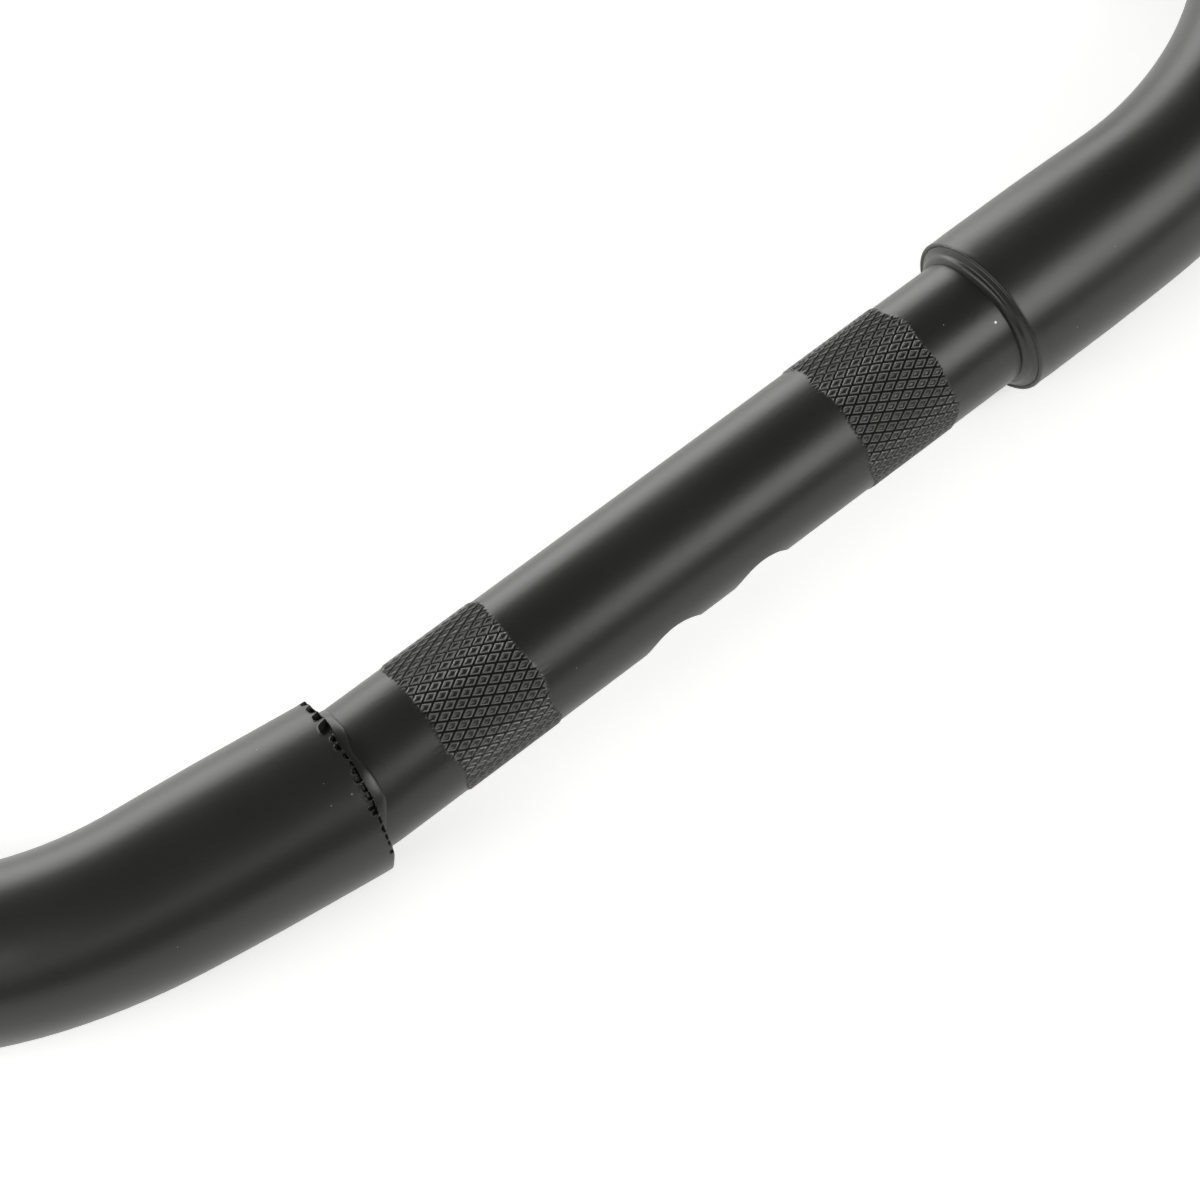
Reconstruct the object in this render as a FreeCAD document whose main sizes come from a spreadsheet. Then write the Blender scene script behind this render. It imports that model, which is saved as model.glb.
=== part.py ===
"""A tall motorcycle handlebar welded up from slim and fat steel tubes.

X runs along the clamp tube to the rider's right, Y points forwards and Z points up.
The origin is the middle of the clamp tube, on its centre line, between the two knurled bands.
"""
import FreeCAD, Part
import math
import os

import Sketcher
from FreeCAD import Vector

# Every driving size, in millimetres or degrees: the name of its cell, its value, what it is.
SIZES = (
    ("slim_diameter", 25.4, "outside of the clamp tube and of the two grip tubes"),
    ("slim_wall", 3.0, "wall of the clamp tube and of the two grip tubes"),
    ("fat_diameter", 31.75, "outside of the two riser tubes"),
    ("slip_clearance", 0.3, "radial room of a slim tube's end inside a riser tube"),
    ("tuck_length", 20.0, "length of a slim tube hidden inside a riser tube"),
    ("spigot_relief", 0.25, "turned off the radius of a grip tube's root, under the weld bead and inside"),
    ("spigot_margin", 0.6, "length of that turned root past the weld bead's toe"),
    ("step_spacing", 140.0, "distance along the bar between the riser tubes' inner ends"),
    ("clamp_spacing", 88.9, "distance between the middles of the knurled bands"),
    ("knurl_length", 19.9, "length of one knurled band"),
    ("knurl_peak_diameter", 26.1, "over the points of the knurl"),
    ("knurl_root_diameter", 25.0, "at the crossings of the knurl's grooves"),
    ("knurl_root_depth", 1.2, "depth of the seat turned for a knurled band"),
    ("knurl_count", 40, "diamonds around the tube"),
    ("knurl_rows", 11, "half diamonds along a band"),
    ("wiring_hole_diameter", 12.7, "each of the two holes for wires"),
    ("wiring_hole_spacing", 19.5, "distance between the two holes for wires"),
    ("wiring_hole_angle", 35.0, "from straight down towards the front"),
    ("left_cant_angle", 8.5, "angle at which the left riser tube is welded to the clamp tube"),
    ("left_cant_place", 70.0, "corner of that small angle, from the middle"),
    ("left_cant_radius", 40.0, "centre line of the set in the tubes there"),
    ("bend_start", 105.3, "start of the big lower bends, from the middle"),
    ("bend_radius", 91.4, "centre line of the lower bends"),
    ("shoulder_radius", 95.0, "centre line of the upper bends"),
    ("rise", 305.0, "height of the upper corners over the clamp line"),
    ("shoulder_spacing", 434.0, "distance between the upper corners"),
    ("pull_back_angle", 35.0, "angle of the grips towards the rider, seen from above"),
    ("grip_droop_angle", 5.0, "angle of the grips below level"),
    ("shoulder_tail", 24.0, "straight end of a riser tube past its upper bend"),
    ("grip_length", 175.0, "bare length of a grip tube"),
    ("weld_leg", 1.9, "size of the weld beads"),
)

doc = FreeCAD.newDocument("handlebar")


def write_sheet():
    """The spreadsheet of driving sizes, one row each: value, then meaning."""
    sheet = doc.addObject("Spreadsheet::Sheet", "Sizes")
    for row, (alias, value, meaning) in enumerate(SIZES, start=1):
        sheet.set(f"A{row}", str(value))
        sheet.setAlias(f"A{row}", alias)
        sheet.set(f"B{row}", meaning)
    doc.recompute()
    return sheet


sheet = write_sheet()


def size(alias):
    """A driving size, read back from the spreadsheet."""
    return float(sheet.get(alias))


def angle(alias):
    """A driving angle in radians."""
    return math.radians(size(alias))


FAT_BORE = "Sizes.slim_diameter / 2 + Sizes.slip_clearance"
FAT_SKIN = "Sizes.fat_diameter / 2"
SLIM_BORE = "Sizes.slim_diameter / 2 - Sizes.slim_wall"
SLIM_SKIN = "Sizes.slim_diameter / 2"
SPIGOT_SKIN = "Sizes.slim_diameter / 2 - Sizes.spigot_relief"
STRAIGHT = 1e-9


def lower_corner(cant):
    """Corner of the right lower bend, for a riser tube welded on at an angle.

    The upright leaves the bend's circle on the tangent that meets the upper corner,
    so both arms reach mirrored grips although the left one starts at a small angle.
    """
    heel = Vector(size("left_cant_place"), 0, 0)
    along = Vector(math.cos(cant), 0, math.sin(cant))
    across = Vector(-math.sin(cant), 0, math.cos(cant))
    start = heel + along * (size("bend_start") - heel.x)
    reach = upper_corner() - (start + across * size("bend_radius"))
    lift = math.atan2(reach.z, reach.x) + math.asin(size("bend_radius") / reach.Length)
    return start + along * (size("bend_radius") * math.tan((lift - cant) / 2))


def upper_corner():
    """Corner of the right upper bend."""
    return Vector(size("shoulder_spacing") / 2, 0, size("rise"))


def bar_end():
    """Middle of the right bar end, past the upper bend of an arm that starts straight."""
    back, droop = angle("pull_back_angle"), angle("grip_droop_angle")
    way = Vector(math.cos(back) * math.cos(droop), -math.sin(back) * math.cos(droop), -math.sin(droop))
    swing = (upper_corner() - lower_corner(0.0)).getAngle(way)
    run = size("shoulder_radius") * math.tan(swing / 2) + size("shoulder_tail") + size("grip_length")
    return upper_corner() + way * run


def arm_corners(side, cant):
    """Corners of one arm's centre line with their bend radii, from the clamp tube outwards."""
    corners = [(Vector(0, 0, 0), 0.0)]
    if abs(cant) > STRAIGHT:
        corners.append((Vector(size("left_cant_place"), 0, 0), size("left_cant_radius")))
    corners.append((lower_corner(cant), size("bend_radius")))
    corners.append((upper_corner(), size("shoulder_radius")))
    corners.append((bar_end(), 0.0))
    return [(Vector(side * point.x, point.y, point.z), radius) for point, radius in corners]


def rounded_line(corners):
    """Straight runs joined by tangent arcs, as a list of edges."""
    edges = []
    here = corners[0][0]
    for (before, _), (corner, radius), (after, _) in zip(corners, corners[1:], corners[2:]):
        come = (corner - before).normalize()
        leave = (after - corner).normalize()
        turn = come.getAngle(leave)
        setback = radius * math.tan(turn / 2)
        enter, exit_point = corner - come * setback, corner + leave * setback
        inward = (leave - come).normalize()
        crown = corner + inward * (radius / math.cos(turn / 2) - radius)
        edges.append(Part.LineSegment(here, enter).toShape())
        edges.append(Part.Arc(enter, crown, exit_point).toShape())
        here = exit_point
    edges.append(Part.LineSegment(here, corners[-1][0]).toShape())
    return edges


def stretch(edges, start, finish):
    """The part of a line between two distances along it."""
    kept = []
    passed = 0.0
    for edge in edges:
        low = max(start - passed, 0.0)
        high = min(finish - passed, edge.Length)
        if high - low > STRAIGHT:
            ends = [edge.getParameterByLength(distance) for distance in (low, high)]
            kept.append(edge.Curve.toShape(*ends))
        passed += edge.Length
    return kept


def length(edges):
    """Length of a line."""
    return sum(edge.Length for edge in edges)


def station(edges, distance):
    """The point and the direction at a distance along a line."""
    piece = stretch(edges, distance, distance + size("weld_leg"))[0]
    return piece.valueAt(piece.FirstParameter), piece.tangentAt(piece.FirstParameter)


def aimed(point, direction):
    """A placement at a point with its Z axis along a direction."""
    return FreeCAD.Placement(point, FreeCAD.Rotation(Vector(0, 0, 1), direction))


def swept_rod(label, edges, radius):
    """A round solid rod along a line, its radius given as an expression."""
    line = doc.addObject("Part::Feature", label + "_line")
    line.Shape = Part.Wire(Part.__sortEdges__(edges))
    first = line.Shape.OrderedEdges[0]
    ring = doc.addObject("Part::Circle", label + "_ring")
    ring.setExpression("Radius", radius)
    ring.Placement = aimed(line.Shape.OrderedVertexes[0].Point, first.tangentAt(first.FirstParameter))
    rod = doc.addObject("Part::Sweep", label)
    rod.Sections = [ring]
    rod.Spine = (line, [f"Edge{number + 1}" for number in range(len(edges))])
    rod.Solid = True
    return rod


def tube(label, line, start, finish, skin, bore):
    """A round tube along a stretch of a line: its outside less its bore."""
    edges = stretch(line, start, finish)
    solid = doc.addObject("Part::Cut", label)
    solid.Base = swept_rod(label + "_skin", edges, skin)
    solid.Tool = swept_rod(label + "_bore", edges, bore)
    return solid


def knurl_shape():
    """A ring of pointed diamonds about X, centred on the origin, as flat triangles.

    Grooves join the low points of a chequered grid, and every other point of it is a peak.
    """
    columns, rows = 2 * round(size("knurl_count")), round(size("knurl_rows"))
    band = size("knurl_length")
    radii = size("knurl_root_diameter") / 2, size("knurl_peak_diameter") / 2
    inside = size("slim_diameter") / 2 - (size("knurl_root_depth") + size("slim_wall")) / 2

    def point(column, row):
        radius = radii[(column + row) % 2]
        bearing = 2 * math.pi * (column % columns) / columns
        return Vector(band * (row / rows - 0.5), radius * math.cos(bearing), radius * math.sin(bearing))

    def facet(*points):
        return Part.Face(Part.makePolygon([*points, points[0]]))

    faces = []
    for row in range(rows):
        for column in range(columns):
            low = point(column, row), point(column + 1, row + 1)
            peaks = point(column + 1, row), point(column, row + 1)
            if (column + row) % 2:
                low, peaks = peaks, low
            faces.extend(facet(*low, peak) for peak in peaks)
    for row in (0, rows):
        faces.append(facet(*(point(column, row) for column in range(columns))))
    shell = Part.Shell(faces)
    shell.sewShape()
    solid = Part.Solid(shell)
    if solid.Volume < 0:
        solid.reverse()
    return solid.cut(Part.makeCylinder(inside, 2 * band, Vector(-band, 0, 0), Vector(1, 0, 0)))


def turning_tool(label, foot, radius):
    """A plain cylinder as long as a knurled band, its radius given as an expression."""
    cylinder = doc.addObject("Part::Cylinder", label)
    cylinder.setExpression("Radius", radius)
    cylinder.setExpression("Height", "Sizes.knurl_length")
    cylinder.Placement = aimed(foot, Vector(1, 0, 0))
    return cylinder


def make_centre_tube(line, middle):
    """The clamp tube with its two knurled bands and two holes for wires."""
    end = size("step_spacing") / 2 + size("tuck_length")
    blank = tube("centre_blank", line, middle - end, middle + end, SLIM_SKIN, SLIM_BORE)
    rings, seats = [], []
    shape = knurl_shape()
    for name, side in (("left", -1), ("right", 1)):
        seat_middle = Vector(side * size("clamp_spacing") / 2, 0, 0)
        ring = doc.addObject("Part::Feature", name + "_knurl")
        ring.Shape = shape
        ring.Placement = FreeCAD.Placement(seat_middle, FreeCAD.Rotation())
        rings.append(ring)
        foot = seat_middle - Vector(size("knurl_length") / 2, 0, 0)
        seat = doc.addObject("Part::Cut", name + "_knurl_seat")
        seat.Base = turning_tool(name + "_seat_outside", foot, "Sizes.knurl_peak_diameter")
        seat.Tool = turning_tool(name + "_seat_core", foot, SLIM_SKIN + " - Sizes.knurl_root_depth")
        seats.append(seat)
    seat_pair = doc.addObject("Part::Compound", "knurl_seats")
    seat_pair.Links = seats
    turned = doc.addObject("Part::Cut", "turned_tube")
    turned.Base, turned.Tool = blank, seat_pair
    knurled = doc.addObject("Part::MultiFuse", "knurled_tube")
    knurled.Shapes = [turned, *rings]
    drills = doc.addObject("Part::Compound", "wiring_drills")
    drills.Links = [wiring_drill(side) for side in (-1, 1)]
    drilled = doc.addObject("Part::Cut", "centre_tube")
    drilled.Base, drilled.Tool = knurled, drills
    return drilled


def wiring_drill(side):
    """One drill for a wiring hole, from the tube's centre line out through its front underside."""
    lean = angle("wiring_hole_angle")
    drill = doc.addObject("Part::Cylinder", "wiring_drill")
    drill.setExpression("Radius", "Sizes.wiring_hole_diameter / 2")
    drill.setExpression("Height", "Sizes.slim_diameter")
    place = Vector(side * size("wiring_hole_spacing") / 2, 0, 0)
    drill.Placement = aimed(place, Vector(0, math.sin(lean), -math.cos(lean)))
    return drill


def make_weld(label, point, direction, inner, seat):
    """A quarter-round weld bead in the corner between a slim tube and a riser tube's end.

    Its own Z axis runs along the slim tube, away from the riser tube's end. The slim tube's
    radius under the bead is given as a length and as an expression.
    """
    body = doc.addObject("PartDesign::Body", label)
    plane = next(item for item in body.Origin.OriginFeatures if item.Role == "XZ_Plane")
    axis = next(item for item in body.Origin.OriginFeatures if item.Role == "Z_Axis")
    sketch = body.newObject("Sketcher::SketchObject", label + "_section")
    sketch.AttachmentSupport = (plane, [""])
    sketch.MapMode = "FlatFace"
    leg = size("weld_leg")
    corner, outer, toe = Vector(inner, 0, 0), Vector(inner + leg, 0, 0), Vector(inner, leg, 0)
    quarter = Part.ArcOfCircle(Part.Circle(corner, Vector(0, 0, 1), leg), 0, math.pi / 2)
    sketch.addGeometry([Part.LineSegment(corner, outer), quarter, Part.LineSegment(toe, corner)], False)
    for first, first_end, second, second_end in ((0, 2, 1, 1), (1, 2, 2, 1), (2, 2, 0, 1), (1, 3, 0, 1)):
        sketch.addConstraint(Sketcher.Constraint("Coincident", first, first_end, second, second_end))
    sketch.addConstraint(Sketcher.Constraint("Horizontal", 0))
    sketch.addConstraint(Sketcher.Constraint("Vertical", 2))
    sketch.addConstraint(Sketcher.Constraint("PointOnObject", 0, 1, -1))
    reach = sketch.addConstraint(Sketcher.Constraint("DistanceX", -1, 1, 0, 1, inner))
    sketch.setExpression(f"Constraints[{reach}]", seat)
    round_size = sketch.addConstraint(Sketcher.Constraint("Radius", 1, leg))
    sketch.setExpression(f"Constraints[{round_size}]", "Sizes.weld_leg")
    bead = body.newObject("PartDesign::Revolution", label + "_bead")
    bead.Profile = sketch
    bead.ReferenceAxis = (axis, [""])
    bead.Angle = 360
    body.Placement = aimed(point, direction)
    return body


def make_grip_tube(label, line, rim, end):
    """A grip tube from inside a riser tube to the bar's end, its root turned down to slip in."""
    outward = 1 if end > rim else -1
    root = rim - outward * size("tuck_length")
    shoulder = rim + outward * (size("weld_leg") + size("spigot_margin"))
    outside = doc.addObject("Part::MultiFuse", label + "_outside")
    outside.Shapes = [
        swept_rod(label + "_bare", stretch(line, min(shoulder, end), max(shoulder, end)), SLIM_SKIN),
        swept_rod(label + "_spigot", stretch(line, min(root, shoulder), max(root, shoulder)), SPIGOT_SKIN),
    ]
    grip = doc.addObject("Part::Cut", label)
    grip.Base = outside
    grip.Tool = swept_rod(label + "_bore", stretch(line, min(root, end), max(root, end)), SLIM_BORE)
    return grip


def make_arm(name, line, step, end):
    """One riser tube with the grip tube in its upper end and the weld beads at both its ends."""
    outward = 1 if end > step else -1
    rim = end - outward * size("grip_length")
    foot, foot_way = station(line, step)
    head, head_way = station(line, rim)
    slim = size("slim_diameter") / 2
    return [
        tube(name + "_riser_tube", line, min(step, rim), max(step, rim), FAT_SKIN, FAT_BORE),
        make_grip_tube(name + "_grip_tube", line, rim, end),
        make_weld(name + "_inner_weld", foot, foot_way * -outward, slim, SLIM_SKIN),
        make_weld(name + "_outer_weld", head, head_way * outward, slim - size("spigot_relief"), SPIGOT_SKIN),
    ]


def check_and_write(pieces):
    """Stop on any failed object or bad solid, then write each piece to its own file."""
    doc.recompute()
    failed = [item.Name for item in doc.Objects if {"Invalid", "Error"} & set(item.State)]
    if failed:
        raise RuntimeError(f"failed objects: {failed}")
    for piece in pieces:
        shape = piece.Shape
        if shape.isNull() or not shape.isValid() or len(shape.Solids) != 1:
            raise RuntimeError(f"{piece.Label} isn't one sound solid")
    os.makedirs("parts", exist_ok=True)
    for piece in pieces:
        piece.Shape.exportStep(f"parts/{piece.Label}.step")
        box = piece.Shape.BoundBox
        extent = f"{box.XLength:.1f} x {box.YLength:.1f} x {box.ZLength:.1f}"
        print(f"{piece.Label}: {piece.Shape.Volume:.0f} mm3, {extent}")


left_corners = arm_corners(-1, angle("left_cant_angle"))
right_corners = arm_corners(1, 0.0)
bar_line = rounded_line(left_corners[:0:-1] + right_corners[1:])
bar_middle = length(rounded_line(left_corners))
half_step = size("step_spacing") / 2
check_and_write([
    make_centre_tube(bar_line, bar_middle),
    *make_arm("left", bar_line, bar_middle - half_step, 0.0),
    *make_arm("right", bar_line, bar_middle + half_step, length(bar_line)),
])
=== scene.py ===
# %% [markdown]
# # A tall handlebar, welded from slim and fat tube
# The real bar is five steel tubes: a slim clamp tube with two knurled bands, two fat risers
# that bend up from it, and two slim grip tubes. Four weld beads join them, and one coat of
# satin black powder covers everything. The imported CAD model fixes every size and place, so
# the first step is to load it. Each piece below then takes the place of one of its solids,
# on the same lines, with the coat's soft edges and the small marks that CAD leaves out.

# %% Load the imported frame
import math

import bpy
import numpy as np
from mathutils import Matrix, Vector


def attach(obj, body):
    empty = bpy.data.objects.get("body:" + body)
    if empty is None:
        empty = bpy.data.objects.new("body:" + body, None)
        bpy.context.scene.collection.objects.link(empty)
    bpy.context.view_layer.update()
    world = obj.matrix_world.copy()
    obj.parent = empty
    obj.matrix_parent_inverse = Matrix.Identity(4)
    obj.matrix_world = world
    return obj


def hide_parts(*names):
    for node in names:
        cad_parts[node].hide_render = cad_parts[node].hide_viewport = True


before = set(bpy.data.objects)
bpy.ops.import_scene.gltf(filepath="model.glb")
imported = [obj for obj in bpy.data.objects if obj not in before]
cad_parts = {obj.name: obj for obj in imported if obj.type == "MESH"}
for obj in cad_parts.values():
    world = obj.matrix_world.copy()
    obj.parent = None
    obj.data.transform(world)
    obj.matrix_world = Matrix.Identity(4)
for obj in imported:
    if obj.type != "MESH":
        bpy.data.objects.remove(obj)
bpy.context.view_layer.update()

print("CAD solids:", sorted(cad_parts))

# %% [markdown]
# ## The bar's line
# A tube bender feeds a straight tube and wraps it round a former, so a bent tube is straight
# runs joined by arcs. A Bezier curve would only come near those arcs. Here each corner of the
# line is rounded by its own radius, which gives the same line as the CAD model. The left
# riser was welded on a few degrees out of line, and that small angle is kept.

# %% Corners of the line
MM = 0.001
STEP = 70.0 * MM            # from the middle to the end of a riser tube
CANT = math.radians(8.5)    # angle of the left riser at its weld
CANT_RADIUS = 40.0 * MM
BEND_START = 105.3 * MM
BEND_RADIUS = 91.4 * MM
SHOULDER = np.array([217.0, 0.0, 305.0]) * MM
SHOULDER_RADIUS = 95.0 * MM
PULL_BACK, DROOP = math.radians(35.0), math.radians(5.0)
TAIL, GRIP = 24.0 * MM, 175.0 * MM


def unit(vector):
    return vector / np.linalg.norm(vector)


def lower_corner(cant):
    """Corner of a lower bend whose upright then runs straight to the shoulder."""
    along = np.array([math.cos(cant), 0.0, math.sin(cant)])
    across = np.array([-math.sin(cant), 0.0, math.cos(cant)])
    start = np.array([STEP, 0.0, 0.0]) + along * (BEND_START - STEP)
    reach = SHOULDER - (start + across * BEND_RADIUS)
    lift = math.atan2(reach[2], reach[0]) + math.asin(BEND_RADIUS / np.linalg.norm(reach))
    return start + along * (BEND_RADIUS * math.tan((lift - cant) / 2))


def bar_end():
    """Middle of the right end of the bar."""
    level = math.cos(DROOP)
    way = np.array([math.cos(PULL_BACK) * level, -math.sin(PULL_BACK) * level, -math.sin(DROOP)])
    swing = math.acos(unit(SHOULDER - lower_corner(0.0)) @ way)
    return SHOULDER + way * (SHOULDER_RADIUS * math.tan(swing / 2) + TAIL + GRIP)


def arm_corners(side, cant):
    """Corners of one arm with their bend radii, from the middle outwards."""
    corners = [(np.zeros(3), 0.0)]
    if cant:
        corners.append((np.array([STEP, 0.0, 0.0]), CANT_RADIUS))
    corners += [(lower_corner(cant), BEND_RADIUS), (SHOULDER, SHOULDER_RADIUS), (bar_end(), 0.0)]
    return [(point * np.array([side, 1, 1]), radius) for point, radius in corners]


print("Right lower corner in mm:", np.round(lower_corner(0.0) / MM, 1))

# %% Runs and arcs
def rounded_line(corners):
    """A list of (length, start, direction, axis, radius), where a straight run has no axis."""
    pieces = []
    here = corners[0][0]
    for (before, _), (corner, radius), (after, _) in zip(corners, corners[1:], corners[2:]):
        come, leave = unit(corner - before), unit(after - corner)
        turn = math.acos(come @ leave)
        setback = radius * math.tan(turn / 2)
        enter = corner - come * setback
        pieces.append((np.linalg.norm(enter - here), here, come, None, 0.0))
        pieces.append((radius * turn, enter, come, unit(np.cross(come, leave)), radius))
        here = corner + leave * setback
    last = corners[-1][0]
    pieces.append((np.linalg.norm(last - here), here, unit(last - here), None, 0.0))
    return pieces


arms = {-1: rounded_line(arm_corners(-1, CANT)), 1: rounded_line(arm_corners(1, 0.0))}    # left, right
arm_length = {side: sum(piece[0] for piece in line) for side, line in arms.items()}
print("Arm lengths in mm:", {side: round(length / MM, 1) for side, length in arm_length.items()})

# %% [markdown]
# ## Walking along the line
# Every ring of a tube needs the point where it sits and two directions across the tube that
# don't twist as the line turns. They are carried along from the middle and only turn with the
# arcs. A bend made without a mandrel also flattens the tube a little in the plane of the
# bend: the photographed tubes lose between 5 and 6 percent there.

# %% Stations on the line
FLATTENING, FLATTEN_RUN = 0.056, 35.0 * MM


def turned(vector, axis, angle):
    """A vector turned about an axis."""
    along = axis * (axis @ vector)
    return along + (vector - along) * math.cos(angle) + np.cross(axis, vector) * math.sin(angle)


def smooth(share):
    """A soft step from 0 to 1."""
    share = np.clip(share, 0.0, 1.0)
    return share * share * (3 - 2 * share)


def station(distance):
    """Middle of the tube at a distance from the bar's middle, left negative.

    Also gives two directions across the tube and the squeezes of the bends, each (share, direction).
    """
    across, up = np.array([0.0, 1.0, 0.0]), np.array([0.0, 0.0, 1.0])
    to_go, squeezes = abs(distance), []
    for length, start, way, axis, radius in arms[1 if distance >= 0 else -1]:
        gone = np.clip(to_go, 0.0, length)
        here = start + way * gone
        if axis is not None:
            inward = np.cross(axis, way)
            here = start + (inward - turned(inward, axis, gone / radius)) * radius
            if radius > CANT_RADIUS:
                share = smooth(to_go / FLATTEN_RUN + 0.5) * smooth((length - to_go) / FLATTEN_RUN + 0.5)
                squeezes.append((FLATTENING * share, turned(inward, axis, gone / radius)))
        if to_go >= 0:
            middle = here
            if axis is not None:
                across, up = (turned(vector, axis, gone / radius) for vector in (across, up))
        to_go -= length
    return middle, across, up, squeezes


print("Bar end at", np.round(station(arm_length[1])[0], 4))

# %% [markdown]
# ## Skins made of rings
# All nine pieces are round in section, so one helper makes them all: it lays rings along the
# line, over the outside, round the end, back through the bore, and joins each ring to the
# next. A Blender curve with a bevel could make a plain tube, but not the knurl or the ragged
# weld, where every point of a ring needs its own radius and its own place along the tube.

# %% Rings and skins
SHARP = 40.0        # degrees between two faces from which their edge stays crisp


def ring(distance, radius, columns):
    """Points of one ring. Its distance and its radius may differ from point to point."""
    bearing = 2 * math.pi * np.arange(columns) / columns
    distances, radii = np.broadcast_to(distance, columns), np.broadcast_to(radius, columns)
    points = np.empty((columns, 3))
    for value in np.unique(distances):
        chosen = distances == value
        middle, across, up, squeezes = station(value)
        out = np.outer(np.cos(bearing[chosen]), across) + np.outer(np.sin(bearing[chosen]), up)
        out *= radii[chosen, None]
        for share, way in squeezes:
            out -= share * np.outer(out @ way, way)
        points[chosen] = middle + out
    return points


def strip(first, first_count, second, second_count):
    """Faces between two rings, each given by its first point and its count of points."""
    count = min(first_count, second_count)

    def side(start, size, column):
        """Points of one ring along one face."""
        fine = size // count
        return [start + (column * fine + step) % size for step in range(fine + 1)]

    return [side(first, first_count, column) + side(second, second_count, column)[::-1]
            for column in range(count)]


def skin(name, node, rings, splits=(), sharp=SHARP):
    """A closed skin through a list of rings, in place of a CAD node. Split rows become triangles."""
    starts = np.cumsum([0] + [len(points) for points in rings])
    faces = []
    for index, points in enumerate(rings):
        after = (index + 1) % len(rings)
        row = strip(int(starts[index]), len(points), int(starts[after]), len(rings[after]))
        if index in splits:
            for (a, b, c, d), rising in zip(row, splits[index]):
                faces += [(a, b, d), (b, c, d)] if rising else [(a, b, c), (a, c, d)]
        else:
            faces += row
    mesh = bpy.data.meshes.new(name)
    mesh.from_pydata(np.concatenate(rings).tolist(), [], faces)
    piece = bpy.data.objects.new(name, mesh)
    bpy.context.scene.collection.objects.link(piece)
    mesh.shade_smooth()
    mesh.set_sharp_from_angle(angle=math.radians(sharp))
    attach(piece, "root")
    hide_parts(node)
    print(name, len(mesh.vertices), "points,", len(faces), "faces")
    return piece


# %% [markdown]
# ## The knurled bands
# A knurling wheel presses two sets of slanting grooves into the clamp tube, so that the
# risers' clamps can't turn on it. Between the grooves stand diamonds, 40 round the tube and
# 3.5 mm long. The wheel pushes metal up along each groove, so a diamond has a raised edge and
# keeps a patch of the old tube in its middle. The profile gives the height in mm from the
# groove (0) to the middle of a diamond (1). A bump map would vanish at the outline, so the
# diamonds are real: the grid's points fall on the grooves, and each small square is split
# along the groove beside it.

# %% Knurl heights
SLIM_RADIUS, SLIM_BORE = 12.7 * MM, 9.7 * MM
BAND_MIDDLE, BAND_LENGTH = 44.45 * MM, 19.9 * MM
BAND_WANDER, BAND_FADE, BAND_MARGIN = 0.25 * MM, 0.6 * MM, 0.7 * MM     # its ends aren't a clean line
DIAMONDS, DIAMOND_LENGTH, FINE = 40, 3.5 * MM, 5
EDGE_LIFT = 0.24
PROFILE = [(0.0, -0.16), (0.2, 0.14), (0.4, EDGE_LIFT), (0.6, 0.04), (0.8, 0.0), (1.0, 0.0)]
COLUMNS = 2 * DIAMONDS * FINE


def knurl(along, seed):
    """Radius and split direction of the ring at a distance from the band's middle."""
    turn, lead = np.arange(COLUMNS) / (2 * FINE), along / DIAMOND_LENGTH
    offs = [2 * np.abs(line - np.round(line)) for line in (turn + lead, turn - lead)]
    height = np.interp(np.minimum(*offs), *zip(*PROFILE)) * MM
    wander = np.sin(2 * math.pi * turn / 5 + seed) + np.sin(2 * math.pi * turn / 8 + 2 * seed)
    inside = smooth((BAND_LENGTH / 2 + BAND_WANDER * wander - abs(along)) / BAND_FADE)
    to_middle = 0.5 / FINE      # by which turn + lead grows to the middle of a small square
    near = [np.abs(line - np.round(line)) for line in (turn + lead + to_middle, turn - lead)]
    return SLIM_RADIUS + inside * height, near[0] < near[1]


print("Knurl:", DIAMONDS, "diamonds round,", COLUMNS, "points to a ring")


# %% [markdown]
# ## The clamp tube
# The clamp tube runs 20 mm into each riser, where it is hidden. Its skin is closed, outside
# and bore, because the two wiring holes are then drilled with a Boolean, as a drill would.

# %% Clamp tube skin
TUCK = 20.0 * MM
clamp_rings, clamp_splits = [], {}


def plain_rings(stops, radius):
    """Plain rings at distances in mm from the middle."""
    for stop in stops:
        clamp_rings.append(ring(stop * MM, radius, COLUMNS))


def band_rings(middle, seed):
    """Rings of one knurled band, with how their squares are split."""
    rows = round((BAND_LENGTH / 2 + BAND_MARGIN) / (DIAMOND_LENGTH / (2 * FINE)))
    for row in range(-rows, rows + 1):
        along = row * DIAMOND_LENGTH / (2 * FINE)
        radius, clamp_splits[len(clamp_rings)] = knurl(along, seed)
        clamp_rings.append(ring(middle + along, radius, COLUMNS))


plain_rings([-90, -80, *np.arange(-75, -63), -60, -57], SLIM_RADIUS)
band_rings(-BAND_MIDDLE, 0.4)
plain_rings(np.arange(-32, 33, 2), SLIM_RADIUS)
band_rings(BAND_MIDDLE, 2.1)
plain_rings([57, 63, 70, 80, 90], SLIM_RADIUS)
plain_rings([90, 60, 25, 0, -25, -60, *np.arange(-65, -76, -2), -90], SLIM_BORE)
clamp_tube = skin("clamp_tube", "centre_tube", clamp_rings, clamp_splits)

# %% Wiring holes
HOLE_RADIUS, HOLE_SPACING, HOLE_LEAN = 6.35 * MM, 19.5 * MM, math.radians(35)
HOLE_COLUMNS = 96


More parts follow.
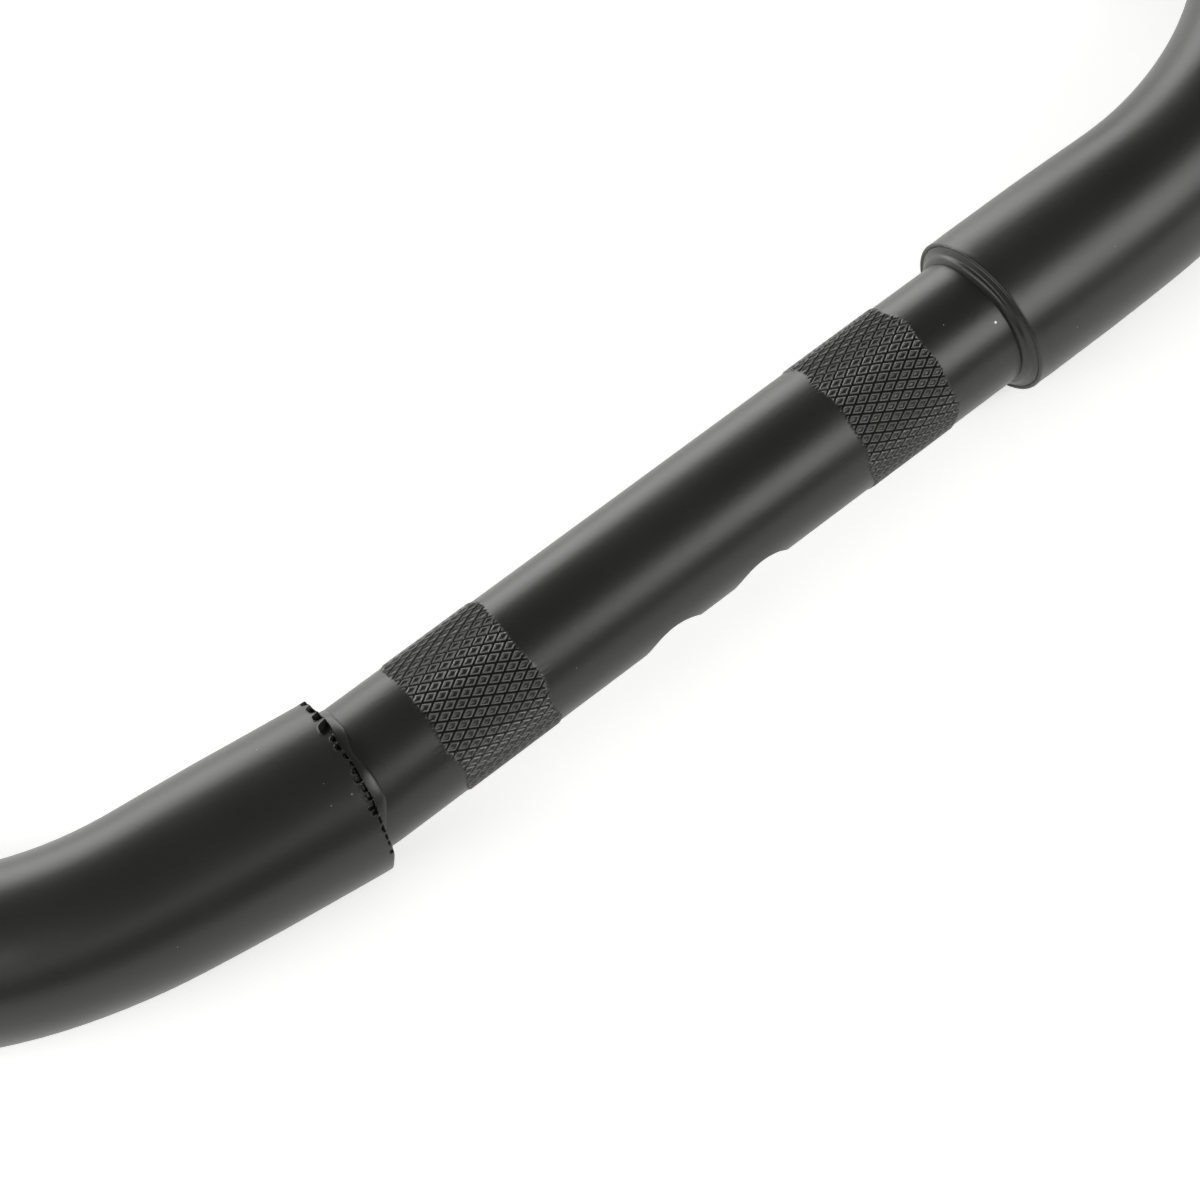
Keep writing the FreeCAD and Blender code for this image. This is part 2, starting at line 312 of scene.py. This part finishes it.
def drill(side):
    """Cuts one hole through the front underside of the clamp tube."""
    bpy.ops.mesh.primitive_cylinder_add(vertices=HOLE_COLUMNS, radius=HOLE_RADIUS, depth=2 * SLIM_RADIUS)
    bit = bpy.context.object
    toward = Vector((0, math.sin(HOLE_LEAN), -math.cos(HOLE_LEAN)))
    bit.rotation_euler = toward.to_track_quat("Z", "Y").to_euler()
    bit.location = Vector((side * HOLE_SPACING / 2, 0, 0)) + toward * SLIM_RADIUS
    cut = clamp_tube.modifiers.new("wiring_hole", "BOOLEAN")
    cut.operation, cut.object, cut.solver = "DIFFERENCE", bit, "EXACT"
    bpy.context.view_layer.objects.active = clamp_tube
    bpy.ops.object.modifier_apply(modifier=cut.name)
    bpy.data.objects.remove(bit)


for side in (-1, 1):
    drill(side)
clamp_tube.data.set_sharp_from_angle(angle=math.radians(SHARP))
print("Clamp tube after drilling:", len(clamp_tube.data.polygons), "faces")

# %% [markdown]
# ## The inner ends of the risers
# The risers are fat tube, 31.75 mm across. The right one ends in a nearly square cut whose edge
# the coat has rounded to a thin lip. The left one is rough: its cut is slanted, and the weld
# has eaten a row of pits into its edge, the largest some 3 mm wide, with thin walls of steel
# left between them. A Boolean could bite out each pit, but moving the points of the rim's own
# rings keeps one clean skin. Bearings and the widths of pits are degrees round the tube, counted
# from the side that the photograph looks at, and other sizes here are in mm. The far side of
# the left rim isn't seen, so its pits are an even row.

# %% Riser ends
FAT_RADIUS, FAT_BORE = 15.875, 13.0
RIM_COLUMNS = 640
SEEN_SIDE = -149.7      # bearing of the photographed side from a ring's first point
LIP = [(-0.3, 13.2), (-0.3, 15.0), (-0.1, 15.2), (0.0, 15.4), (0.05, 15.55), (0.0, 15.7), (-0.1, 15.81),
       (-0.28, 15.875), (-0.7, 15.86), (-1.4, 15.82), (-2.4, 15.84), (-4.0, 15.875)]
CUT_EDGE = [(-0.8, 13.2), (-0.8, 14.2), (0.0, 14.5), (0.0, 15.68), (-0.1, 15.8), (-0.2, 15.85)]
CUT_EDGE += [(-0.3 - 0.12 * row, 15.875) for row in range(20)]
print("Points in the sections of the rims, left and right:", len(CUT_EDGE), len(LIP))

# %% Slants and pits
# A reach is (bearing, mm that the rim comes towards the middle).
# A pit is (bearing, width in degrees, length in mm).
LEFT_REACH = [(-180, 1.6), (-90, 2.1), (-66, 2.15), (-50, 2.6), (-38, 2.75), (-30, 2.0), (-20, 1.85),
              (-6, 2.0), (4, 1.6), (14, 1.6), (24, 1.05), (38, 0.6), (52, 0.27), (60, 0.1), (72, -0.5),
              (90, -0.9), (130, 0.2), (180, 1.6)]
LEFT_PITS = [(-92, 9, 1.5), (-75.5, 12, 1.6), (-60.3, 11, 1.5), (-49.8, 7.5, 1.8), (-38.5, 11, 2.1),
             (-28.5, 4.5, 0.9), (-22.2, 5, 0.9), (-15, 5, 0.7), (-9, 4, 0.6), (-4.5, 4, 0.9),
             (0.5, 4.5, 1.1), (6.9, 5.5, 0.9), (12.7, 5, 0.9), (18.6, 5, 1.2), (23, 3, 0.9),
             (29, 5, 0.45), (35.5, 5.5, 0.5), (42, 5, 0.45), (48, 5, 0.4), (56, 4, 0.6)]
LEFT_PITS += [(bearing, 5, 0.7) for bearing in range(100, 270, 9)]
RIGHT_REACH = [(-180, -0.2), (-90, -0.2), (-50, -0.1), (-30, -0.25), (-5, -0.6), (20, -0.75), (90, -0.8),
               (140, -0.5), (180, -0.2)]
RIGHT_PITS = [(-72, 3, 0.2), (-66, 5, 0.15), (-60, 6, 0.3), (-54, 4, 0.25)]


def seen_bearing(columns):
    """Bearing of each point of a ring from the photographed side, in degrees."""
    return (360 * np.arange(columns) / columns - SEEN_SIDE + 180) % 360 - 180


def around(table, columns):
    """A table of (bearing, value) read at each point of a ring, with its corners rounded off."""
    bearing = seen_bearing(columns)
    return sum(np.interp(bearing + shift, *zip(*table), period=360) for shift in range(-4, 5, 2)) / 5


print("Pits in the left rim:", len(LEFT_PITS))

# %% Rims with pits
PIT_DEPTH, PIT_STEEPNESS, PIT_WALL = 1.3, 1.5, 0.15     # deepest, depth to length, run of the wall
FACE, FRONT_SHARE = 0.1, 0.4        # a pit keeps this share of its depth within this far of the rim
BURR, BURR_BACK, BURR_RUN = 0.1, 0.1, 0.25              # height, how far behind its pit, half width
BURR_PIT, BURR_SIDE = 0.7, 80       # burrs lie only behind longer pits, and up to this bearing
OUTER_SKIN, BITTEN = 15.6, 0.1      # no burr below this radius, or where a pit is this deep


def rim(side, section, reach, pits):
    """Rings of a riser's inner end. The section is a list of (mm past the rim, radius in mm)."""
    bearing = seen_bearing(RIM_COLUMNS)
    rings = []
    for past, radius in section:
        bite, burr = np.zeros(RIM_COLUMNS), np.zeros(RIM_COLUMNS)
        wall = FRONT_SHARE + (1 - FRONT_SHARE) * smooth((-past - FACE) / PIT_WALL)
        for middle, width, long in pits:
            off = np.abs((bearing - middle + 180) % 360 - 180) / (width / 2)
            length = long * np.sqrt(np.clip(1 - off ** 3, 0, 1))
            if long > BURR_PIT:
                lift = BURR * smooth(1 - np.abs(length + past + BURR_BACK) / BURR_RUN)
                burr = np.maximum(burr, lift * (off < 1.1))
            depth = min(PIT_DEPTH, PIT_STEEPNESS * long) * wall
            bite = np.maximum(bite, depth * smooth((length + past) / PIT_WALL) * (off < 1))
        burr *= (radius > OUTER_SKIN) & (bite < BITTEN) & (np.abs(bearing) < BURR_SIDE)
        place = side * (STEP - (reach + past) * MM)
        rings.append(ring(place, (np.minimum(radius, FAT_RADIUS - bite) + burr) * MM, RIM_COLUMNS))
    return rings


left_rim = rim(-1, CUT_EDGE, around(LEFT_REACH, RIM_COLUMNS), LEFT_PITS)
right_rim = rim(1, LIP, around(RIGHT_REACH, RIM_COLUMNS), RIGHT_PITS)
print("Rings of the rims, left and right:", len(left_rim), len(right_rim))

# %% [markdown]
# ## The riser tubes
# From its rough or lipped end, each riser follows its bends to the grip. Its rings lie closer
# together in the bends. Its outer end has a plain rounded edge.

# %% Riser tubes
FAT_COLUMNS = 160
RUN_PACE, ARC_PACE = 9 * MM, math.radians(2.0)
FOOT_LENGTH, HEAD_LENGTH = 5 * MM, 3 * MM       # at the two ends, which have rings of their own
OUTER_EDGE = [(1.2, 0.0), (0.5, 0.0), (0.15, 0.12), (0.0, 0.45), (0.0, FAT_RADIUS - FAT_BORE)]


def riser_stops(side):
    """Distances of the rings between a riser's two ends."""
    stops, passed = [], 0.0
    for length, _, _, axis, radius in arms[side]:
        pace = RUN_PACE if axis is None else radius * ARC_PACE
        stops += list(passed + np.arange(0, length, pace))
        passed += length
    return [stop for stop in stops if STEP + FOOT_LENGTH < stop < arm_length[side] - GRIP - HEAD_LENGTH]


def riser(name, side, foot):
    """A riser tube from the rings of its inner end."""
    end = arm_length[side] - GRIP
    stops = riser_stops(side)
    profile = [(stop, FAT_RADIUS) for stop in stops]
    profile += [(end - back * MM, FAT_RADIUS - less) for back, less in OUTER_EDGE]
    profile += [(stop, FAT_BORE) for stop in stops[::-3]]
    rings = foot + [ring(side * stop, radius * MM, FAT_COLUMNS) for stop, radius in profile]
    return skin(name, name + "_tube", rings[::side])


right_riser = riser("right_riser", 1, right_rim)
left_riser = riser("left_riser", -1, left_rim)

# %% [markdown]
# ## The weld beads
# A bead of weld metal fills the corner between a slim tube and a riser's end, and the coat
# rounds it further. Three beads are even, with a ridge and a narrow groove beside the lip. The
# left inner bead was run by hand: it is wide at the top, pinched near the middle, and then
# swells once more before it slips under the rim. Its outline therefore comes from two tables,
# how far its toe reaches and how high it swells at each bearing. Sizes are in mm here too.

# %% Even beads
BEAD_COLUMNS, BEAD_SHARP = 320, 60.0
BEAD = [(-0.4, 15.2), (-0.1, 15.15), (0.05, 14.9), (0.25, 14.5), (0.45, 14.12), (0.62, 14.0), (0.8, 13.97),
        (1.0, 13.88), (1.2, 13.72), (1.4, 13.45), (1.55, 13.12), (1.65, 12.7), (1.8, 12.7)]
ON_TUBE, BEAD_ROOT = 13.0, 12.6         # points below the first lie on the slim tube
ROOT_RELIEF = 0.25                      # turned off the radius of a grip tube's root


def bead(name, node, place, toward, sunk, reach):
    """An even bead at a riser's rim, towards the middle of the bar or its end, sunk to its tube."""
    section = [(past, radius - sunk * (radius < ON_TUBE)) for past, radius in BEAD]
    section += [(section[-1][0], BEAD_ROOT - sunk), (section[0][0], BEAD_ROOT - sunk)]
    rings = [ring(place + toward * (past + reach) * MM, radius * MM, BEAD_COLUMNS)
             for past, radius in section]
    return skin(name, node, rings[::toward], sharp=BEAD_SHARP)


rim_of = {side: arm_length[side] - GRIP for side in (-1, 1)}
right_slant = around(RIGHT_REACH, BEAD_COLUMNS)
right_inner_bead = bead("right_inner_bead", "right_inner_weld", STEP, -1, 0.0, right_slant)
right_outer_bead = bead("right_outer_bead", "right_outer_weld", rim_of[1], 1, ROOT_RELIEF, 0.0)
left_outer_bead = bead("left_outer_bead", "left_outer_weld", -rim_of[-1], -1, ROOT_RELIEF, 0.0)

# %% Hand-run bead
LEFT_TOE = [(-180, 3.6), (-90, 3.8), (-64, 4.3), (-36, 4.4), (-27, 3.8), (-19, 3.05), (-10, 3.0), (1, 3.5),
            (23, 3.05), (32, 2.3), (40, 1.4), (52, 0.6), (64, 0.3), (90, 0.4), (130, 2.0), (180, 3.6)]
LEFT_SWELL = [(-180, 0.9), (-120, 0.5), (-92, 0.1), (-75, 0.3), (-55, 1.0), (-32, 1.0), (-15, 0.65),
              (1, 0.9), (20, 0.75), (40, 0.4), (60, 0.15), (90, 0.3), (130, 0.8), (180, 0.9)]
UNDER_RIM, FULLNESS = 0.6, 0.7          # a power below 1 makes the bead fuller than an ellipse
toe, heel, swell = (around(table, BEAD_COLUMNS) for table in (LEFT_TOE, LEFT_REACH, LEFT_SWELL))
heel = heel - UNDER_RIM
bead_rings = []
for turn in np.linspace(0, math.pi / 2, 13):
    past = heel + (toe - heel) * math.sin(turn) ** FULLNESS
    radius = SLIM_RADIUS / MM + swell * max(math.cos(turn), 0) ** FULLNESS
    bead_rings.append(ring(-STEP + past * MM, radius * MM, BEAD_COLUMNS))
for past in (toe, heel):
    bead_rings.append(ring(-STEP + past * MM, BEAD_ROOT * MM, BEAD_COLUMNS))
left_inner_bead = skin("left_inner_bead", "left_inner_weld", bead_rings, sharp=BEAD_SHARP)

# %% [markdown]
# ## The grip tubes
# Grips, levers and switches slide onto these two bare ends, so they are plain slim tube. The
# root is turned down to slip into the riser, and the open end has its burr taken off.

# %% Grip tubes
ROOT_RADIUS, ROOT_PAST = SLIM_RADIUS - ROOT_RELIEF * MM, 2.5 * MM
GRIP_COLUMNS, GRIP_MARGIN = 128, 8 * MM
END_EDGE = [(0.9, 12.7), (0.5, 12.65), (0.15, 12.45), (0.0, 12.1), (0.0, 10.2), (0.15, 9.9), (0.6, 9.7)]


def grip(name, side):
    """A grip tube from inside the riser to the bar's end."""
    root, end = rim_of[side], arm_length[side]
    profile = [(root - TUCK, ROOT_RADIUS), (root + ROOT_PAST - 0.1 * MM, ROOT_RADIUS)]
    profile += [(root + ROOT_PAST + 0.3 * MM, SLIM_RADIUS)]
    profile += [(stop, SLIM_RADIUS) for stop in np.linspace(root + GRIP_MARGIN, end - GRIP_MARGIN, 12)]
    profile += [(end - back * MM, radius * MM) for back, radius in END_EDGE] + [(root - TUCK, SLIM_BORE)]
    rings = [ring(side * stop, radius, GRIP_COLUMNS) for stop, radius in profile]
    return skin(name, name + "_tube", rings[::side])


right_grip = grip("right_grip", 1)
left_grip = grip("left_grip", -1)

# %% [markdown]
# ## Powder coat
# The finish is a satin black polyester powder, sprayed dry and melted in an oven. It flows
# out to a skin about a tenth of a millimetre thick, never quite level: it shows a soft
# orange peel, a very fine grain, and a few specks of pale dust, of which the three largest
# have their own places. It isn't metal to the eye, because the light meets the plastic first.
# On the knurl the raised edges are painted a paler colour, a painted highlight that stands in for
# the bright lines of light along them, and they are made less rough there. Only the clamp tube
# has them, so its coat is a second material that measures how far a point stands off the tube.
# The real grain is finer than 0.1 mm, and it is drawn at 0.25 mm so that it shows.

# %% Helpers for materials
def linear(code):
    """An sRGB hex colour as linear RGBA."""
    parts = [int(code[i:i + 2], 16) / 255 for i in (1, 3, 5)]
    return [p / 12.92 if p <= 0.04045 else ((p + 0.055) / 1.055) ** 2.4 for p in parts] + [1.0]


def add(tree, kind, links=(), **settings):
    """Adds a node, sets its fields and socket values, and links (its input, from node, from output)."""
    node = tree.nodes.new(kind)
    for key, value in settings.items():
        if hasattr(node, key):
            setattr(node, key, value)
        else:
            node.inputs[key.replace("_", " ")].default_value = value
    for target, source, output in links:
        tree.links.new(source.outputs[output], node.inputs[target])
    return node


print("Coat black as linear light:", [round(part, 4) for part in linear("#1a1a17")])

# %% Powder coat material
PEEL_SIZE, GRAIN_SIZE, CLOUD_SIZE = 1.6 * MM, 0.25 * MM, 28 * MM
SPECK_GAP, SPECK_SIZE = 5.0 * MM, 0.10 * MM
# The last colour here is a painted highlight for the raised knurl edges.
COAT, COAT_CLOUD, DUST, KNURL_EDGE_HIGHLIGHT = "#1a1a17", "#20201d", "#a8a8a0", "#8c8c86"
FLECKS = [((67.2, -9.57, -8.35), 0.26, "#f0f0ec"),
          ((-75.2, -12.91, -8.69), 0.2, "#6a6a66"),
          ((-71.45, -12.84, -9.18), 0.2, "#6a6a66")]


def powder_coat(name, peel, edge_highlight=0.0):
    """Satin black powder coat with peel and dust. On edges that stand off the clamp tube it can carry a
    painted highlight in a paler colour.
    """
    material = bpy.data.materials.new(name)
    material.use_nodes = True
    tree = material.node_tree
    tree.nodes.clear()
    at = [("Vector", add(tree, "ShaderNodeTexCoord"), "Object")]
    waves = add(tree, "ShaderNodeTexNoise", at, Scale=1 / PEEL_SIZE, Detail=1.5)
    grain = add(tree, "ShaderNodeTexNoise", at, Scale=1 / GRAIN_SIZE, Detail=2.0)
    cloud = add(tree, "ShaderNodeTexNoise", at, Scale=1 / CLOUD_SIZE, Detail=3.0)
    dust = add(tree, "ShaderNodeTexVoronoi", at, Scale=1 / SPECK_GAP)
    size = SPECK_SIZE / SPECK_GAP
    speck = add(tree, "ShaderNodeMapRange", [("Value", dust, "Distance")], From_Min=size, From_Max=0.6 * size)
    coat = add(tree, "ShaderNodeMixRGB", [("Fac", cloud, "Fac")],
               Color1=linear(COAT), Color2=linear(COAT_CLOUD))
    colour = add(tree, "ShaderNodeMixRGB", [("Fac", speck, "Result"), ("Color1", coat, "Color")],
                 Color2=linear(DUST))
    for place, width, tone in FLECKS:
        shift = add(tree, "ShaderNodeMapping", at, Location=[-v * MM for v in place])
        away = add(tree, "ShaderNodeVectorMath", [(0, shift, "Vector")], operation="LENGTH")
        fleck = add(tree, "ShaderNodeMapRange", [("Value", away, "Value")],
                    From_Min=width * MM, From_Max=0.6 * width * MM)
        colour = add(tree, "ShaderNodeMixRGB", [("Fac", fleck, "Result"), ("Color1", colour, "Color")],
                     Color2=linear(tone))
    rough = add(tree, "ShaderNodeMapRange", [("Value", cloud, "Fac")],
                From_Min=0.3, From_Max=0.7, To_Min=0.33, To_Max=0.39)
    # Painted highlight: the raised knurl edges get a paler colour and less roughness.
    if edge_highlight:
        across = add(tree, "ShaderNodeMapping", at, Scale=(0, 1, 1))
        radius = add(tree, "ShaderNodeVectorMath", [(0, across, "Vector")], operation="LENGTH")
        edge = add(tree, "ShaderNodeMapRange", [("Value", radius, "Value")], To_Max=edge_highlight,
                   From_Min=SLIM_RADIUS + 0.4 * EDGE_LIFT * MM, From_Max=SLIM_RADIUS + EDGE_LIFT * MM)
        colour = add(tree, "ShaderNodeMixRGB", [("Fac", edge, "Result"), ("Color1", colour, "Color")],
                     Color2=linear(KNURL_EDGE_HIGHLIGHT))
        rough = add(tree, "ShaderNodeMapRange", [("Value", edge, "Result"), ("To Min", rough, "Result")],
                    From_Max=edge_highlight, To_Max=0.2)
    wavy = add(tree, "ShaderNodeBump", [("Height", waves, "Fac")], Strength=peel, Distance=0.05 * MM)
    fine = add(tree, "ShaderNodeBump", [("Height", grain, "Fac"), ("Normal", wavy, "Normal")],
               Strength=0.25, Distance=0.012 * MM)
    looks = [("Base Color", colour, "Color"), ("Roughness", rough, "Result"), ("Normal", fine, "Normal")]
    shader = add(tree, "ShaderNodeBsdfPrincipled", looks, IOR=1.5)
    add(tree, "ShaderNodeOutputMaterial", [("Surface", shader, "BSDF")])
    return material


tube_coat = powder_coat("satin_black_powder_coat", 0.35)
# This coat paints a highlight on the knurl's raised edges.
knurl_coat = powder_coat("powder_coat_painted_knurl_highlight", 0.35, edge_highlight=0.55)
weld_coat = powder_coat("powder_coat_over_weld", 0.6)
print("Materials:", tube_coat.name, knurl_coat.name, weld_coat.name)

# %% Coat the pieces
clamp_tube.data.materials.clear()
clamp_tube.data.materials.append(knurl_coat)
for piece in (right_riser, left_riser, right_grip, left_grip):
    piece.data.materials.append(tube_coat)
for piece in (right_inner_bead, left_inner_bead, right_outer_bead, left_outer_bead):
    piece.data.materials.append(weld_coat)
print("Coat on the clamp tube:", clamp_tube.data.materials[0].name)

# %% [markdown]
# ## The white sheet
# The bar lies on a white sheet with its front side down, so in the bar's own frame the sheet
# stands upright just behind it. It looks white to the camera and in reflections, and it
# still takes the bar's soft shadow. It ends 17 cm below the bar, because the dark line low on
# each tube mirrors the room there. From behind it can't be seen, so that the bar shows.

# %% Sheet
SHEET_BACK, SHEET_LOW, SHEET_REACH = 16.3 * MM, -0.17, 2.0
sheet_corners = [(-SHEET_REACH, SHEET_LOW), (SHEET_REACH, SHEET_LOW),
                 (SHEET_REACH, SHEET_REACH), (-SHEET_REACH, SHEET_REACH)]
sheet_mesh = bpy.data.meshes.new("white_sheet")
sheet_mesh.from_pydata([(x, SHEET_BACK, z) for x, z in sheet_corners], [], [(0, 1, 2, 3)])
sheet = bpy.data.objects.new("white_sheet", sheet_mesh)
bpy.context.scene.collection.objects.link(sheet)
print("Sheet faces", tuple(round(v, 2) for v in sheet_mesh.polygons[0].normal))

# %% Sheet material
SHEET_GLOW = 0.45
paper = bpy.data.materials.new("white_sheet")
paper.use_nodes = True
tree = paper.node_tree
tree.nodes.clear()
path = add(tree, "ShaderNodeLightPath")
seen = add(tree, "ShaderNodeMath", [(0, path, "Is Camera Ray"), (1, path, "Is Glossy Ray")],
           operation="MAXIMUM")
seen = add(tree, "ShaderNodeMath", [(0, seen, 0), (1, path, "Is Transmission Ray")], operation="MAXIMUM")
level = add(tree, "ShaderNodeMapRange", [("Value", seen, 0)], To_Max=SHEET_GLOW)
glow = add(tree, "ShaderNodeEmission", [("Strength", level, "Result")])
matt = add(tree, "ShaderNodeBsdfDiffuse", Color=linear("#f2f2f0"))
front = add(tree, "ShaderNodeAddShader", [(0, matt, 0), (1, glow, 0)])
clear = add(tree, "ShaderNodeBsdfTransparent")
face = add(tree, "ShaderNodeNewGeometry")
both = add(tree, "ShaderNodeMixShader", [("Fac", face, "Backfacing"), (1, front, 0), (2, clear, 0)])
add(tree, "ShaderNodeOutputMaterial", [("Surface", both, "Shader")])
sheet_mesh.materials.append(paper)
print("Sheet material:", paper.name)

# %% [markdown]
# ## The room and its lights
# The photograph's highlights tell where the light was. A bright band along the upper edge of
# every tube mirrors a long, low light behind the bar. A softer one near the middle, stronger
# to the right, mirrors a smaller light in front and to the right, and a pale board beside it
# carries that band on to the left. The thin line on the right bead mirrors a narrow light on
# the left. The room itself is dim.

# %% Room
ROOM_LEVEL = 0.13
world = bpy.data.worlds.new("room")
bpy.context.scene.world = world
world.use_nodes = True
background = world.node_tree.nodes["Background"]
background.inputs["Color"].default_value = (1, 1, 1, 1)
background.inputs["Strength"].default_value = ROOM_LEVEL
print("Room level:", ROOM_LEVEL)

# %% Lights
def softbox(name, toward, distance, size, level):
    """A rectangular lamp, its first size along the bar. Its level is what a mirror would show."""
    lamp = bpy.data.lights.new(name, "AREA")
    lamp.shape, lamp.size, lamp.size_y = "RECTANGLE", *size
    lamp.energy = level * math.pi * size[0] * size[1]
    away = Vector(toward).normalized()
    long = (Vector((1, 0, 0)) - away * away.x).normalized()
    holder = bpy.data.objects.new(name, lamp)
    facing = Matrix((long, away.cross(long), away)).transposed().to_4x4()
    holder.matrix_world = Matrix.Translation(away * distance) @ facing
    holder.visible_camera = False
    bpy.context.scene.collection.objects.link(holder)
    print(name, round(lamp.energy, 1), "W")


softbox("back_softbox", (0.2, -0.28, 0.96), 1.3, (2.6, 0.75), 4.3)
softbox("front_softbox", (0.5, -0.52, -0.69), 1.1, (0.8, 0.6), 4.3)
softbox("front_board", (-0.1, -0.58, -0.81), 1.2, (2.6, 0.36), 1.0)
softbox("side_board", (-0.8, -0.58, 0.12), 1.2, (0.35, 1.5), 5.5)

# %% [markdown]
# ## The camera
# The photograph looks up at the bar's left underside from about 40 cm, through a short
# telephoto lens. The position comes from matching the step edges, the knurled bands and the
# outlines of both bends.

# %% Camera
eye = Vector((-95.196, -343.037, -199.716)) * MM
right = Vector((0.787683, 0.164383, -0.593746))
down = Vector((-0.584481, 0.504082, -0.635833))
ahead = Vector((0.194776, 0.847868, 0.493136))
lens = bpy.data.cameras.new("camera")
lens.sensor_width, lens.lens, lens.clip_start = 36.0, 70.193, 0.01
camera = bpy.data.objects.new("camera", lens)
camera.matrix_world = Matrix.Translation(eye) @ Matrix((right, -down, -ahead)).transposed().to_4x4()
bpy.context.scene.collection.objects.link(camera)
bpy.context.scene.camera = camera
bpy.context.scene.view_settings.view_transform = "Standard"
print("Camera to the middle of the bar in mm:", round(eye.length / MM))
